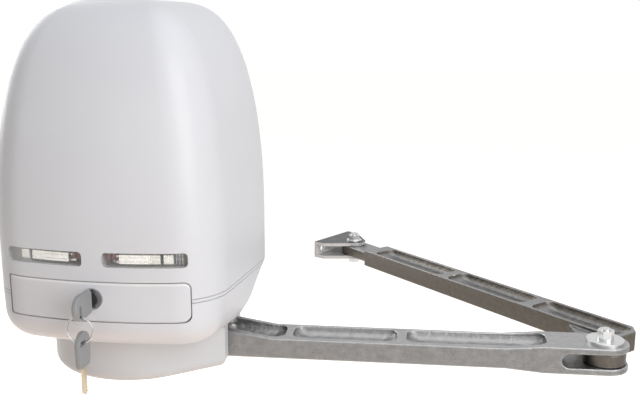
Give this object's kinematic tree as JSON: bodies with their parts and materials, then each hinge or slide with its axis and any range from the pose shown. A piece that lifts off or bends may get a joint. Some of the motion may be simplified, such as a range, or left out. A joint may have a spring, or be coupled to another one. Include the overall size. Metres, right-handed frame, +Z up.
{
  "type": "articulated arm gate opener",
  "caption": "Wall-mounted swing gate opener: domed housing with lamps and locked release flap, geared motor inside, and a hinged cast arm that ends in a gate bracket.",
  "frame": {"origin": "middle of the four wall bolt holes, on the wall plate's rear face", "axes": "+Y out of the plate's rear face into the wall, +Z up, +X to the right seen from the front"},
  "size_m": [0.574, 0.5469, 0.3304],
  "materials": {
    "housing_plastic": "satin moulded",
    "cap_plastic": "satin moulded",
    "black_plastic": "fine grain",
    "black_steel": "powder coat",
    "cast_aluminium": "as cast, brushed edges",
    "zinc": "bright zinc",
    "steel": "ground",
    "bronze": "plain bearing bronze",
    "rubber": "matt",
    "clear_lens": "clear moulded",
    "lamp_white": "diffusing",
    "reflector": "bright moulded",
    "board": "board lacquer",
    "relay_plastic": "gloss",
    "copper": "lacquered winding",
    "key_plastic": "satin moulded",
    "key_brass": "milled",
    "lock_chrome": "polished"
  },
  "bodies": {
    "gearmotor": {"wall_plate": "black_steel", "plate_bolts": "zinc", "gear_case": "cast_aluminium", "gear_case_lid": "cast_aluminium", "case_screws": "zinc", "shaft_bearings": "steel", "shaft_seal": "rubber", "lay_bushes": "bronze", "motor_head": "cast_aluminium", "motor_can": "steel", "motor_end_cap": "black_plastic", "fork_rod": "steel", "release_tray": "black_plastic", "lower_shell": "housing_plastic", "seam_band": "housing_plastic", "upper_cover": "housing_plastic", "cover_screws": "zinc", "cable_gland": "black_plastic", "lenses": "clear_lens", "lamp_trays": "reflector", "lamp_boards": "board", "lamps": "lamp_white", "chassis": "zinc", "control_board": "board", "terminal_strip": "board", "relays": "relay_plastic", "capacitors": "black_plastic", "transformer": "copper"},
    "swing_arm": {"output_shaft": "steel", "output_gear": "steel", "main_arm": "cast_aluminium", "arm_cap": "cap_plastic", "cap_screws": "zinc", "hub_bolt": "zinc", "elbow_bolt": "zinc", "elbow_washers": "zinc", "elbow_nut": "zinc"},
    "lay_gears": {"lay_shaft": "steel", "lay_gear": "steel"},
    "motor_rotor": {"motor_shaft": "steel"},
    "sleeve": {"clutch_sleeve": "steel"},
    "fork": {"shift_fork": "bronze"},
    "release": {"release_spindle": "steel", "release_lever": "key_plastic"},
    "outer_arm": {"forearm": "cast_aluminium", "forearm_bushes": "bronze"},
    "bracket": {"gate_bracket": "zinc", "bracket_bolt": "zinc", "bracket_washers": "zinc", "bracket_nut": "zinc"},
    "flap": {"release_flap": "housing_plastic", "lock_barrel": "lock_chrome", "lock_nut": "zinc"},
    "lock": {"lock_plug": "lock_chrome", "lock_cam": "zinc", "key_head": "key_plastic", "key_blade": "key_brass", "key_ring": "lock_chrome"},
    "spare_key": {"spare_key_head": "key_plastic", "spare_key_blade": "key_brass"}
  },
  "joints": [
    {"name": "arm_swing", "type": "hinge", "parent": "gearmotor", "child": "swing_arm", "pos_m": [0, -0.09, -0.115], "axis": [0, 0, 1], "range_deg": [-70, 35]},
    {"name": "elbow_turn", "type": "hinge", "parent": "swing_arm", "child": "outer_arm", "pos_m": [0.42952, -0.06974, -0.115], "axis": [0, 0, 1], "range_deg": [-125, 28]},
    {"name": "bracket_turn", "type": "hinge", "parent": "outer_arm", "child": "bracket", "pos_m": [0.16007, 0.26544, -0.115], "axis": [0, 0, 1], "range_deg": [-95, 80]},
    {"name": "lay_spin", "type": "hinge", "parent": "gearmotor", "child": "lay_gears", "pos_m": [-0.06, -0.09, -0.035], "axis": [0, 0, 1], "range_deg": [-110, 215]},
    {"name": "motor_spin", "type": "hinge", "parent": "gearmotor", "child": "motor_rotor", "pos_m": [-0.04125, -0.05752, -0.025], "axis": [0, 0, 1], "range_deg": [-545, 275]},
    {"name": "sleeve_slide", "type": "slide", "parent": "swing_arm", "child": "sleeve", "axis": [0, 0, 1], "range_m": [0, 0.005]},
    {"name": "fork_slide", "type": "slide", "parent": "gearmotor", "child": "fork", "axis": [0, 0, 1], "range_m": [0, 0.0051]},
    {"name": "release_turn", "type": "hinge", "parent": "gearmotor", "child": "release", "pos_m": [0.022, -0.156, -0.049], "axis": [0, -1, 0], "range_deg": [0, 90]},
    {"name": "flap_open", "type": "hinge", "parent": "gearmotor", "child": "flap", "pos_m": [-0.0769, -0.18274, -0.049], "axis": [0, 0, -1], "range_deg": [0, 88]},
    {"name": "key_turn", "type": "hinge", "parent": "flap", "child": "lock", "pos_m": [-0.001, -0.196, -0.0443], "axis": [0, 1, 0], "range_deg": [0, 90]},
    {"name": "spare_hang", "type": "hinge", "parent": "lock", "child": "spare_key", "pos_m": [-0.001, -0.2216, -0.06195], "axis": [0, 1, 0], "range_deg": [-92, 2]}
  ],
  "couplings": [
    {"joint": "lay_spin", "follows": "arm_swing", "ratio": -3},
    {"joint": "motor_spin", "follows": "arm_swing", "ratio": 7.7143},
    {"joint": "release_turn", "follows": "sleeve_slide", "rad_per_m": 314},
    {"joint": "fork_slide", "follows": "sleeve_slide", "ratio": 1},
    {"joint": "spare_hang", "follows": "key_turn", "ratio": -1}
  ]
}
